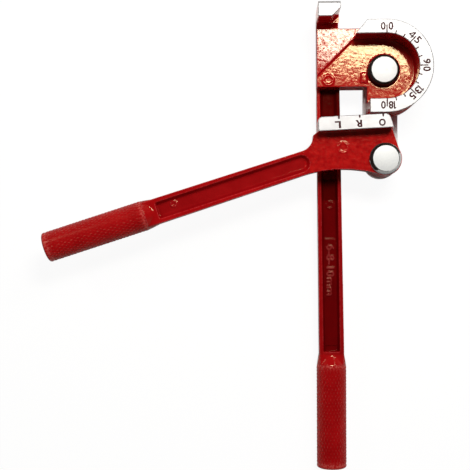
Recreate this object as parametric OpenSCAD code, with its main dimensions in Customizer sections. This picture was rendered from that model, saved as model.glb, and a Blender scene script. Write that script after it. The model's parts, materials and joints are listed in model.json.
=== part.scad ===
// Lever tube bender for three tube sizes.
// It lies on its back: X to the right, Y up along the mandrel handle, Z out of the dial face.
// The origin is on the wheel axis, in the plane of the pivot pins' rear ends.

/* [Tubes] */
// Outside diameter of the smallest tube, in the groove nearest the dial
tube_small = 6; // [4:0.5:7]
// Outside diameter of the middle tube
tube_medium = 8; // [6:0.5:9]
// Outside diameter of the largest tube, in the groove nearest the back plate
tube_large = 10; // [8:0.5:11]
// Radial play of a tube in its groove
groove_clear = 0.2; // [0.1:0.05:0.4]
// Wall in front of the first groove
front_wall = 3; // [2:0.5:5]
// Wall between two grooves
groove_land = 2.4; // [1.5:0.1:4]
// Wall behind the last groove, to the back of the wheel
back_wall = 12.6; // [10:0.2:14]

/* [Wheel] */
// Bend radius, at the centre line of the tube and the edge of the rim
bend_radius = 34; // [31:0.5:40]
// Radial width of the dial ring
ring_w = 10.2; // [9:0.1:11.5]
// Straight run of the ring beside the hook
ring_top_run = 14; // [8:0.5:18]
// How far the slanted end of the ring leans back
ring_slant = 8.6; // [4:0.2:11]
// Straight run of the ring at the end of the bend
ring_low_run = 12.3; // [8:0.1:15]

/* [Back plate] */
// Distance of the plate's left edge from the wheel axis
plate_left = 50; // [46:0.5:56]
// Distance of the plate's lower edge below the wheel axis
plate_low = 11.5; // [9:0.5:14]
// Thickness of the plate at the pocket floor
plate_t = 20.5; // [18:0.5:22]
// Height of the triangular pad above the pocket floor
pad_rise = 2; // [0.5:0.25:3]
// Distance of the pad's lowest corner below the wheel axis
pad_drop = 3.2; // [0:0.2:5]
// Depth of the counterbore round the wheel pin
counterbore_t = 1; // [0.5:0.1:1.4]
// Length of the small key nub beside the wheel pin
nub_l = 7; // [4:0.5:10]
// Distance of the nub's outer side from the wheel axis
nub_x = 16.6; // [14:0.2:18]
// Width of the key nub
nub_w = 4; // [2:0.2:5]
// Distance of the nub's middle below the wheel axis
nub_drop = 5; // [2:0.2:6]
// Height of the key nub above the pocket floor
nub_rise = 1.2; // [0.5:0.1:3]

/* [Hook] */
// Width of the hook along the tube
hook_w = 16.6; // [12:0.2:22]
// Gap between the tube's centre line and the underside of the hook
hook_gap = 2.8; // [1.5:0.1:2.9]
// Height of the hook above its underside
hook_h = 11.2; // [8:0.2:16]
// Corner cut off the hook towards the wheel
hook_corner = 6.2; // [3:0.2:9]
// Chamfer on the front of the hook's top edge
hook_chamfer = 2; // [0.5:0.25:3]

/* [Mandrel handle] */
// Distance from the wheel axis to the end of the mandrel shank
shank_l = 216; // [190:1:230]
// Width of the shank where it leaves the back plate
shank_w_top = 17.6; // [15.6:0.2:19]
// Step from the plate's left edge in to the shank's
shank_inset = 0.2; // [0:0.1:1]
// Width of the shank at its collar
shank_w_end = 19.2; // [18:0.2:21]
// How far the shank's middle shifts towards the wheel on its way to the collar
shank_shift = 2.2; // [0:0.2:4]
// Depth of the mandrel shank
shank_t = 14; // [12:0.5:15]
// Step from the pocket floor down to the front of the shank
shank_step = 11.5; // [9:0.25:12]
// Width of the recess along the mandrel shank
shank_recess_w = 13.2; // [10:0.2:14]
// Length of the ramp behind the shank, up to the back plate
shank_ramp = 10; // [5:1:20]
// Length of the tenon that joins the shank to the back plate
tenon_l = 12; // [8:1:20]
// Width of the tenon
tenon_w = 12; // [8:0.5:14]
// Shank left in front of the tenon and behind it
tenon_wall = 0.8; // [0.5:0.1:1.2]

/* [Lever] */
// Distance between the two pivot pins
link_l = 67; // [62.5:0.5:74]
// Gap between the wheel's rim and the shoe when it is shut
shoe_gap = 0.85; // [0.5:0.05:1.2]
// Height of the shoe bar
shoe_h = 10.3; // [9:0.1:12]
// Length of the shoe on the handle side of the lever pin
shoe_left = 49; // [42:0.5:51]
// Length of the shoe's foot on the other side of the lever pin
shoe_right = 6.1; // [4:0.1:8]
// How far the shoe's end leans back from its foot
shoe_lean = 2.9; // [1:0.1:5]
// Depth of the lever plate
lever_t = 13; // [12:0.5:14]
// Radius of the lever's pivot boss
boss_r = 12.5; // [11.6:0.1:14]
// Angle of the lever handle to the shoe's face
lever_angle = 15.1; // [12:0.1:18]
// Distance of the lever handle's middle line from the lever pin
lever_offset = 15.9; // [13:0.1:18]
// Width of the lever shank at the head
lever_w_head = 17.6; // [16:0.2:19]
// Width of the lever shank at its collar
lever_w_end = 19.4; // [18:0.2:21]
// Distance along the handle from the lever pin to the collar
lever_l = 176; // [155:1:190]
// Distance along the handle from the lever pin to the start of the recess
lever_recess_start = 60.5; // [56:0.5:70]
// Width of the lever's recess at its mouth
lever_recess_w = 13.1; // [10:0.1:13.5]
// How far the lever's head reaches past the shoe's end
neck_lip = 3.75; // [1:0.25:5]
// Radius of the hollow where the shoe meets the lever shank
neck_r = 11.5; // [6:0.5:12]
// Distance from the lever pin to the middle of the arch under the head, along the shoe
arch_x = 35; // [30:0.5:38]
// Radius of the arch under the head
arch_r = 100; // [60:5:110]
// Radius on the shoe's corner over the lever pin
shoe_round = 4.2; // [1:0.2:5]
// Radius on the shoe's corner over the handle
shoe_end_round = 3; // [1:0.2:5]
// Angle by which the shoe stands open as drawn
rest_open = 2.7; // [0:0.1:10]

/* [Grips] */
// Diameter of the knurled grips
grip_d = 23; // [21.5:0.5:23.5]
// Length of a grip sleeve
grip_l = 78; // [60:1:100]
// Diameter of the round tang inside a sleeve
tang_d = 16; // [12:0.5:17]
// Length of the flared collar between shank and grip
collar_l = 8; // [6:0.5:14]
// Step from the grip's surface down to the collar
collar_step = 0.3; // [0.2:0.1:1]
// Thickness of an end plug's rounded cap
cap_t = 2; // [1.5:0.25:4]
// Radius on the cap's edge
cap_round = 1.5; // [0.5:0.25:1.5]
// Length of the plug's spigot inside the sleeve
spigot_l = 9; // [5:0.5:14]

/* [Recesses] */
// Depth of the recesses along both handles
recess_t = 4; // [2:0.25:5]
// How far a recess's walls lean in from its mouth to its floor
recess_lean = 2.2; // [0.5:0.1:3]
// Solid length between a recess and the end of its shank
recess_end_l = 2; // [2:0.5:10]

/* [Pivots] */
// Diameter of a pivot pin
pin_d = 16; // [12:0.5:17]
// Wall of a bearing bush
bush_wall = 2; // [1.5:0.1:2.3]
// Diameter of a pin's head
head_d = 22.8; // [20:0.2:23]
// Chamfer round a pin's head
head_chamfer = 1.5; // [0.5:0.1:2]
// Height of the wheel pin's head
wheel_head_t = 7.5; // [5:0.5:12]
// Height of the lever pin's head
lever_head_t = 4; // [3:0.25:6]
// Diameter of the washers
washer_d = 23.6; // [22:0.2:24.4]
// Thickness of the washer under the wheel pin's head
wheel_washer_t = 1.5; // [1:0.1:2]
// Thickness of the washer under the lever pin's head
lever_washer_t = 1; // [0.8:0.1:2]
// Thickness of the washers beside the link
thrust_t = 1; // [0.6:0.1:2]
// Thickness of the washers behind the link
rear_washer_t = 1.5; // [1:0.1:2]
// Thickness of the link plate
link_t = 7.5; // [6:0.5:9]
// Width of the link plate
link_w = 26.5; // [25:0.5:30]
// Thickness of a circlip
clip_t = 1.2; // [1:0.1:1.6]
// Radial width of a circlip
clip_w = 2.4; // [2:0.1:3]
// Depth of the circlip's groove in the pin
clip_groove = 0.8; // [0.5:0.1:1]
// Width of the circlip's opening
clip_gap = 6; // [4:0.5:8]
// Pin left standing behind the circlip
pin_tail = 1.2; // [0.8:0.1:2]

/* [Clearances] */
// Radial running clearance between a pin and its bush
run_clear = 0.05; // [0.02:0.01:0.08]
// Radial clearance of a pressed or clipped fit
seat_clear = 0.02; // [0.01:0.01:0.04]
// End play of a swinging part between its washers
end_play = 0.1; // [0.05:0.05:0.2]
// Radial room round the washer in the counterbore
washer_room = 0.5; // [0.3:0.1:1]
// Room between the two handles where they pass each other
handle_room = 1; // [0.5:0.25:3]
// Room between the shoe's rear side and the mandrel shank
shoe_room = 2.5; // [1:0.25:4]

/* [Hidden] */

$fn = 96;
// Overlap that lets a cut pass cleanly through a face
eps = 1;

paint = [0.62, 0.04, 0.05];
steel = [0.75, 0.76, 0.78];
bronze = [0.70, 0.52, 0.28];

// Heights of the stack, from the pins' rear ends to the dial face
clip_z = pin_tail;
rear_washer_z = clip_z + clip_t;
link_z = rear_washer_z + rear_washer_t;
thrust_z = link_z + link_t;
plate_z = thrust_z + thrust_t + end_play;
floor_z = plate_z + plate_t;
seat_z = floor_z - counterbore_t;
pad_z = floor_z + pad_rise;
wheel_washer_z = seat_z + end_play;
wheel_head_z = wheel_washer_z + wheel_washer_t;

// Middle heights of the three grooves, and their radii
function groove_r(tube) = tube / 2 + groove_clear;
large_z = plate_z + back_wall + groove_r(tube_large);
medium_z = large_z + groove_r(tube_large) + groove_land + groove_r(tube_medium);
small_z = medium_z + groove_r(tube_medium) + groove_land + groove_r(tube_small);
face_z = small_z + groove_r(tube_small) + front_wall;
grooves = [[tube_small, small_z], [tube_medium, medium_z], [tube_large, large_z]];

// The mandrel handle lies behind the pocket floor, and the lever handle passes in front of it
shank_front_z = floor_z - shank_step;
shank_mid_z = shank_front_z - shank_t / 2;
lever_mid_z = shank_mid_z + grip_d + handle_room;
lever_back_z = lever_mid_z - lever_t / 2;
lever_front_z = lever_mid_z + lever_t / 2;
lever_washer_z = lever_front_z + end_play;
lever_head_z = lever_washer_z + lever_washer_t;
shoe_back_z = shank_front_z + shoe_room;

// Places in the wheel's plan
ring_inner = bend_radius - ring_w;
shank_x = -plate_left + shank_inset + shank_w_top / 2;
grip_x = shank_x + shank_shift;
shank_run = shank_l - plate_low;
tenon_low = plate_z + tenon_wall;
tenon_high = shank_front_z - recess_t - tenon_wall;
hook_low = bend_radius + hook_gap;
hook_top = hook_low + hook_h;
pin_r = pin_d / 2;
bush_r = pin_r + bush_wall;
washer_r = washer_d / 2;
collar_r = grip_d / 2 - collar_step;

// Places in the lever's plan, with the lever pin at the origin and the shoe's face level
shoe_face = link_l - bend_radius - shoe_gap;
shoe_foot = shoe_face - shoe_h;
tube_line = link_l - bend_radius;
head_x = -shoe_left - neck_lip;
// Upper (side 1) and lower (side -1) edge line of the lever shank at x
function shank_edge(x, side) =
    (lever_offset + side * lever_w_head / 2) / cos(lever_angle) + x * tan(lever_angle);

// Points of a corner rounded by radius r, where a path turns from a through b to c
function unit(v) = v / norm(v);
function rounded(a, b, c, r, n = 6) =
    let (u = unit(a - b), v = unit(c - b))
    let (half = acos(u * v) / 2)
    let (mid = b + unit(u + v) * r / sin(half))
    let (from = b + u * r / tan(half) - mid, to = b + v * r / tan(half) - mid)
    let (turn = 180 - 2 * half, way = sign(cross([from.x, from.y], [to.x, to.y])))
    [for (i = [0:n])
        let (t = way * turn * i / n)
        mid + [from.x * cos(t) - from.y * sin(t), from.x * sin(t) + from.y * cos(t)]];

// Extrudes a plan from height low to height high
module slab(low, high) {
    translate([0, 0, low])
        linear_extrude(height = high - low)
            children();
}

// Turns a lever plan into its drawn place
module lever_place() {
    translate([0, -link_l, 0])
        rotate([0, 0, rest_open])
            children();
}

// Frame of the lever handle: X runs out along its middle line
module along_lever() {
    rotate([0, 0, 180 + lever_angle])
        translate([0, -lever_offset, 0])
            children();
}

// Frame of the mandrel handle: X runs out along its middle line, down the drawing
module along_mandrel() {
    translate([grip_x, 0, 0])
        rotate([0, 0, -90])
            children();
}

// Round bar along X from x1 to x2 at height z
module bar(x1, x2, r, z) {
    translate([x1, 0, z])
        rotate([0, 90, 0])
            cylinder(h = x2 - x1, r = r);
}

// Flat ring
module ring(low, t, r_in, r_out) {
    translate([0, 0, low])
        difference() {
            cylinder(h = t, r = r_out);
            translate([0, 0, -eps])
                cylinder(h = t + 2 * eps, r = r_in);
        }
}

// Recess with leaning walls along X, sunk into the face at height face in direction way
module recess(x1, x2, w, face, way) {
    mouth = w / 2 + recess_lean / recess_t * eps;
    bed = w / 2 - recess_lean;
    translate([x1, 0, face])
        rotate([way > 0 ? 0 : 180, 0, 0])
            rotate([90, 0, 90])
                linear_extrude(height = x2 - x1)
                    polygon([[-mouth, eps], [mouth, eps], [bed, -recess_t], [-bed, -recess_t]]);
}

// Round end of a lever recess
module recess_end(x, w, face, way) {
    translate([x, 0, face])
        rotate([way > 0 ? 0 : 180, 0, 0])
            translate([0, 0, -recess_t])
                cylinder(h = recess_t + eps, r1 = w / 2 - recess_lean,
                    r2 = w / 2 + recess_lean / recess_t * eps);
}

// Flared collar and tang that carry a grip sleeve, on a shank of width w and depth t that ends at x
module grip_core(x, z, w, t) {
    end = x + collar_l;
    intersection() {
        slab(z - t / 2, z + t / 2)
            polygon([[x - eps, eps - w / 2], [x, -w / 2], [end, -collar_r],
                [end, collar_r], [x, w / 2], [x - eps, w / 2 - eps]]);
        bar(x - eps, end, collar_r, z);
    }
    translate([x - eps, 0, z])
        rotate([0, 90, 0])
            cylinder(h = collar_l + eps, r1 = t / 2 - eps, r2 = collar_r);
    bar(end - eps, end + grip_l - spigot_l - eps, tang_d / 2, z);
}

// Round envelope that trims a flat shank's edges to the width of its collar at x
module shank_envelope(x, z) {
    translate([0, 0, z])
        rotate([0, 90, 0])
            rotate_extrude()
                polygon([[0, 0], [grip_d, 0], [grip_d, x - 2 * collar_l],
                    [collar_r + eps, x - collar_l], [collar_r, x], [0, x]]);
}

// Grip sleeve on the tang
module grip_sleeve(x, z) {
    difference() {
        bar(x, x + grip_l, grip_d / 2, z);
        bar(x - eps, x + grip_l + eps, tang_d / 2 + seat_clear, z);
    }
}

// End plug with a spigot in the sleeve and a round-edged cap
module grip_plug(x, z) {
    translate([x, 0, z])
        rotate([0, 90, 0])
            rotate_extrude()
                polygon(concat([[0, -spigot_l], [tang_d / 2, -spigot_l], [tang_d / 2, 0], [grip_d / 2, 0]],
                    rounded([grip_d / 2, 0], [grip_d / 2, cap_t], [0, cap_t], cap_round), [[0, cap_t]]));
}

// Plan of the dial ring with its two straight runs
module ring_plan() {
    difference() {
        union() {
            intersection() {
                circle(r = bend_radius);
                translate([0, -bend_radius])
                    square([bend_radius, 2 * bend_radius]);
            }
            translate([-ring_low_run, -bend_radius])
                square([ring_low_run + eps, ring_w]);
            polygon([[eps, ring_inner], [eps, bend_radius], [-ring_top_run, bend_radius],
                [-ring_top_run - ring_slant, ring_inner]]);
        }
        circle(r = ring_inner);
    }
}

// Plan of the back plate
module plate_plan() {
    intersection() {
        circle(r = bend_radius);
        translate([0, -bend_radius])
            square([bend_radius, 2 * bend_radius]);
    }
    translate([-plate_left, -plate_low])
        square([plate_left + eps, plate_low + bend_radius]);
    translate([-ring_low_run, -bend_radius])
        square([ring_low_run + eps, bend_radius]);
}

// Plan of the mandrel shank, from the back plate to its collar
module shank_plan() {
    polygon([[shank_x - shank_w_top / 2, -plate_low], [shank_x + shank_w_top / 2, -plate_low],
        [grip_x + shank_w_end / 2, -shank_l], [grip_x - shank_w_end / 2, -shank_l]]);
}

// Tenon that joins the shank to the back plate, or its socket with some room
module tenon(room = 0) {
    translate([shank_x - tenon_w / 2 - room, -plate_low - eps, tenon_low - room])
        cube([tenon_w + 2 * room, tenon_l + eps + room, tenon_high - tenon_low + 2 * room]);
}

// Grooves along a straight tube line at height y, from x1 to x2
module straight_grooves(x1, x2, y) {
    for (g = grooves)
        translate([0, y, 0])
            bar(x1, x2, groove_r(g[0]), g[1]);
}

// Grooves round the wheel
module wheel_grooves() {
    for (g = grooves)
        translate([0, 0, g[1]])
            rotate([0, 0, -90])
                rotate_extrude(angle = 180)
                    translate([bend_radius, 0])
                        circle(r = groove_r(g[0]), $fn = 48);
    straight_grooves(-plate_left - eps, 0, bend_radius);
    straight_grooves(-plate_left - eps, 0, -bend_radius);
}

// Mandrel casting: wheel, dial ring, back plate and hook in one piece
module mandrel_casting() color(paint) {
    difference() {
        union() {
            slab(plate_z, floor_z) plate_plan();
            slab(plate_z, pad_z)
                polygon([[-plate_left, -pad_drop], [-plate_left + pad_drop + bend_radius, bend_radius],
                    [-plate_left, bend_radius]]);
            slab(floor_z - eps, face_z) ring_plan();
            hook();
            translate([-nub_x, -nub_drop - nub_l / 2, floor_z - eps])
                cube([nub_w, nub_l, nub_rise + eps]);
        }
        wheel_grooves();
        translate([0, 0, seat_z])
            cylinder(h = counterbore_t + pad_rise + eps, r = washer_r + washer_room);
        translate([0, 0, plate_z - eps])
            cylinder(h = plate_t + 2 * eps, r = bush_r + seat_clear);
        tenon(seat_clear);
    }
}

// Hook that holds the tube's end
module hook() {
    slab(plate_z, pad_z)
        translate([-plate_left, bend_radius - eps])
            square([hook_w, hook_top - bend_radius + eps]);
    intersection() {
        slab(pad_z - eps, face_z)
            polygon([[-plate_left, hook_low], [-plate_left + hook_w - hook_corner, hook_low],
                [-plate_left + hook_w, hook_low + hook_corner], [-plate_left + hook_w, hook_top],
                [-plate_left, hook_top]]);
        translate([-plate_left, 0, 0])
            rotate([90, 0, 90])
                linear_extrude(height = hook_w)
                    polygon([[0, 0], [hook_top, 0], [hook_top, face_z - hook_chamfer],
                        [hook_top - hook_chamfer, face_z], [0, face_z]]);
    }
}

// Mandrel shank with its tenon, recesses, collar and tang
module mandrel_shank() color(paint) {
    difference() {
        intersection() {
            slab(0, shank_front_z) shank_plan();
            translate([-2 * plate_left, 0, 0])
                rotate([90, 0, 90])
                    linear_extrude(height = 2 * plate_left)
                        polygon([[-plate_low, plate_z], [-plate_low, shank_front_z],
                            [-shank_l, shank_front_z], [-shank_l, shank_front_z - shank_t],
                            [-plate_low - shank_ramp, shank_front_z - shank_t]]);
            along_mandrel() shank_envelope(shank_l, shank_mid_z);
        }
        translate([shank_x, -plate_low, 0])
            rotate([0, 0, -90 + atan(shank_shift / shank_run)])
                for (side = [[shank_front_z, 1], [shank_front_z - shank_t, -1]])
                    recess(-eps, shank_run - recess_end_l, shank_recess_w, side[0], side[1]);
    }
    tenon();
    along_mandrel() grip_core(shank_l, shank_mid_z, shank_w_end, shank_t);
}

module mandrel_grip() color(paint)
    along_mandrel() grip_sleeve(shank_l + collar_l, shank_mid_z);

module mandrel_grip_plug() color(paint)
    along_mandrel() grip_plug(shank_l + collar_l + grip_l, shank_mid_z);

module wheel_bush() color(bronze)
    ring(plate_z, seat_z - plate_z, pin_r + run_clear, bush_r);

// Plan of the shoe bar
module shoe_plan() {
    foot_left = [-shoe_left, shoe_foot];
    foot_right = [shoe_right, shoe_foot];
    face_right = [shoe_right - shoe_lean, shoe_face];
    face_left = [-shoe_left, shoe_face];
    polygon(concat([foot_left, foot_right], rounded(foot_right, face_right, face_left, shoe_round),
        rounded(face_right, face_left, foot_left, shoe_end_round)));
}

// Plan of the lever's head, from the pivot boss to the start of the shank
module head_plan() {
    circle(r = boss_r);
    corner = [head_x, shank_edge(head_x, 1)];
    far = [head_x - lever_w_head, shank_edge(head_x - lever_w_head, 1)];
    neck = rounded([head_x, shoe_foot], corner, far, neck_r);
    under = [far.x, shank_edge(far.x, -1)];
    arch = rounded(under, [-arch_x, shank_edge(-arch_x, -1)], [0, -boss_r], arch_r, 16);
    polygon(concat([[shoe_right, shoe_foot + eps], [-shoe_left, shoe_foot + eps]], neck,
        [under], arch, [[0, -boss_r], [boss_r, 0]]));
}

// Plan of the lever shank, in the handle's frame
module lever_shank_plan() {
    polygon([[shoe_left, -lever_w_head / 2], [lever_l, -lever_w_end / 2],
        [lever_l, lever_w_end / 2], [shoe_left, lever_w_head / 2]]);
}

// Lever casting: shoe, pivot boss and handle shank in one piece
module lever_casting() color(paint) lever_place() {
    difference() {
        union() {
            slab(shoe_back_z, face_z) shoe_plan();
            slab(lever_back_z, lever_front_z) head_plan();
            slab(plate_z, lever_front_z) circle(r = boss_r);
            along_lever() {
                intersection() {
                    slab(lever_back_z, lever_front_z) lever_shank_plan();
                    shank_envelope(lever_l, lever_mid_z);
                }
                grip_core(lever_l, lever_mid_z, lever_w_end, lever_t);
            }
        }
        straight_grooves(-shoe_left - eps, shoe_right + eps, tube_line);
        translate([0, 0, plate_z - eps])
            cylinder(h = lever_front_z - plate_z + 2 * eps, r = bush_r + seat_clear);
        along_lever()
            for (side = [[lever_front_z, 1], [lever_back_z, -1]]) {
                recess(lever_recess_start, lever_l - recess_end_l, lever_recess_w, side[0], side[1]);
                recess_end(lever_recess_start, lever_recess_w, side[0], side[1]);
            }
    }
}

module lever_grip() color(paint)
    lever_place() along_lever() grip_sleeve(lever_l + collar_l, lever_mid_z);

module lever_grip_plug() color(paint)
    lever_place() along_lever() grip_plug(lever_l + collar_l + grip_l, lever_mid_z);

module lever_bush() color(bronze)
    translate([0, -link_l, 0])
        ring(plate_z, lever_front_z - plate_z, pin_r + run_clear, bush_r);

// Link plate with round ends, from pin to pin
module link_plate() color(steel)
    slab(link_z, link_z + link_t)
        difference() {
            union() {
                circle(d = link_w);
                translate([0, -link_l]) circle(d = link_w);
                translate([-link_w / 2, -link_l]) square([link_w, link_l]);
            }
            circle(r = pin_r + seat_clear);
            translate([0, -link_l]) circle(r = pin_r + seat_clear);
        }

// Headed pin with a circlip groove near its tail
module headed_pin(head_z, head_t) {
    head_r = head_d / 2;
    groove = pin_r - clip_groove;
    rotate_extrude()
        polygon([[0, 0], [pin_r, 0], [pin_r, clip_z], [groove, clip_z], [groove, clip_z + clip_t],
            [pin_r, clip_z + clip_t], [pin_r, head_z], [head_r, head_z],
            [head_r, head_z + head_t - head_chamfer], [head_r - head_chamfer, head_z + head_t],
            [0, head_z + head_t]]);
}

// Open ring that clips into a pin's groove
module circlip() {
    inner = pin_r - clip_groove + seat_clear;
    difference() {
        ring(clip_z, clip_t, inner, inner + clip_w);
        translate([0, -clip_gap / 2, clip_z - eps])
            cube([inner + clip_w + eps, clip_gap, clip_t + 2 * eps]);
    }
}

module wheel_pin() color(steel) headed_pin(wheel_head_z, wheel_head_t);

module lever_pin() color(steel)
    translate([0, -link_l, 0]) headed_pin(lever_head_z, lever_head_t);

module wheel_head_washer() color(steel)
    ring(wheel_washer_z, wheel_washer_t, pin_r + run_clear, washer_r);

module lever_head_washer() color(steel)
    translate([0, -link_l, 0]) ring(lever_washer_z, lever_washer_t, pin_r + run_clear, washer_r);

module wheel_thrust_washer() color(bronze)
    ring(thrust_z, thrust_t, pin_r + run_clear, washer_r);

module lever_thrust_washer() color(bronze)
    translate([0, -link_l, 0]) ring(thrust_z, thrust_t, pin_r + run_clear, washer_r);

module wheel_rear_washer() color(steel)
    ring(rear_washer_z, rear_washer_t, pin_r + run_clear, washer_r);

module lever_rear_washer() color(steel)
    translate([0, -link_l, 0]) ring(rear_washer_z, rear_washer_t, pin_r + run_clear, washer_r);

module wheel_circlip() color(steel) circlip();

module lever_circlip() color(steel)
    translate([0, -link_l, 0]) circlip();

mandrel_casting();
mandrel_shank();
mandrel_grip();
mandrel_grip_plug();
wheel_bush();
link_plate();
wheel_pin();
lever_pin();
wheel_head_washer();
lever_head_washer();
wheel_thrust_washer();
lever_thrust_washer();
wheel_rear_washer();
lever_rear_washer();
wheel_circlip();
lever_circlip();
lever_casting();
lever_grip();
lever_grip_plug();
lever_bush();
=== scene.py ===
"""Lever tube bender: the looks of the tool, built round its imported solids.

The tool lies on its back with the dial face up: X to the right of the dial, Y from the mandrel
handle's grip to the hook, Z out of the dial face. Lengths are in metres.
"""

import json
import logging
import math
from contextlib import contextmanager
from dataclasses import dataclass, field
from enum import Enum
from typing import Callable, Iterator, Sequence

import bmesh
import bpy
from mathutils import Euler, Matrix, Vector


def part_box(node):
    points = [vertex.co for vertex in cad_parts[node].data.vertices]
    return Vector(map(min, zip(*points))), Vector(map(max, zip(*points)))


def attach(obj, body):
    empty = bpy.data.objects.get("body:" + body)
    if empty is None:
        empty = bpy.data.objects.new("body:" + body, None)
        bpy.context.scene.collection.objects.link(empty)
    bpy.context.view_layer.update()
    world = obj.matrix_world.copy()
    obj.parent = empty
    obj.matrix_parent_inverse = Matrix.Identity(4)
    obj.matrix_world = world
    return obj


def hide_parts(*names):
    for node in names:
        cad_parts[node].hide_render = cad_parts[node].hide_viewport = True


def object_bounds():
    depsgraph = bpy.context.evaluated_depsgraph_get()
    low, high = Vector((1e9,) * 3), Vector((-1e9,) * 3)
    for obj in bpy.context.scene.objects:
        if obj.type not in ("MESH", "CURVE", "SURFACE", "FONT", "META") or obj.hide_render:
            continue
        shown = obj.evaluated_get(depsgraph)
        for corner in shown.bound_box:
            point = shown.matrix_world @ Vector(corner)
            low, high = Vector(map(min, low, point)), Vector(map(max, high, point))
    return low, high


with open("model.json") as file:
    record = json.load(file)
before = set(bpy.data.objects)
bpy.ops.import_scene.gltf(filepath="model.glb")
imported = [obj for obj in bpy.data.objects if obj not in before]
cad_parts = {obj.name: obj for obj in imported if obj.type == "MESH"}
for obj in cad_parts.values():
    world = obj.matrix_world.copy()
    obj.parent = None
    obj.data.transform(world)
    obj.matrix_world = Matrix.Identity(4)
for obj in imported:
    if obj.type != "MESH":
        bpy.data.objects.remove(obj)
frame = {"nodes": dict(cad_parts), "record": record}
CAD_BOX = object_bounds()

MM = 0.001
WELD = 0.02 * MM  # points nearer than this are one
FINE_WELD = WELD / 100  # the same, for points that a cut makes
ON_PLANE = WELD / 10  # reach of points that lie in a cut plane
FLAT_TOP = 0.99  # least normal.z of a flat top
LOG = logging.getLogger("tube_bender")

# Sockets of a Mix node for colours, whose names are shared with its other sockets.
MIX_SHARE, MIX_FLAT, MIX_EDGE, MIX_COLOUR = 0, 6, 7, 2
# Levels that most of a noise lies between.
NOISE_LOW, NOISE_HIGH = 0.3, 0.7
# Radians of a wave texture per length, at a scale of 1.
WAVE_RATE = 20

Colour = tuple[float, float, float]
Point = tuple[float, float, float]
Span = tuple[float, float]
Piece = bpy.types.Object
Material = bpy.types.Material
Socket = bpy.types.NodeSocket
FaceTest = Callable[[bmesh.types.BMFace], bool]
EdgeTest = Callable[[bmesh.types.BMEdge], bool]


def mm(*lengths: float) -> tuple[float, ...]:
    """Turns millimetres into metres."""
    return tuple(length * MM for length in lengths)


class Body(Enum):
    """The bodies that pieces ride on."""

    MANDREL = "mandrel"
    LINK = "link"
    LEVER = "lever"


class Slot(Enum):
    """The names of the record's material slots."""

    CASTING_PAINT = "casting_paint"
    GRIP_PAINT = "grip_paint"
    STEEL = "steel"


class Pick(Enum):
    """What is selected in edit mode."""

    EDGE = "EDGE"
    FACE = "FACE"


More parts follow.
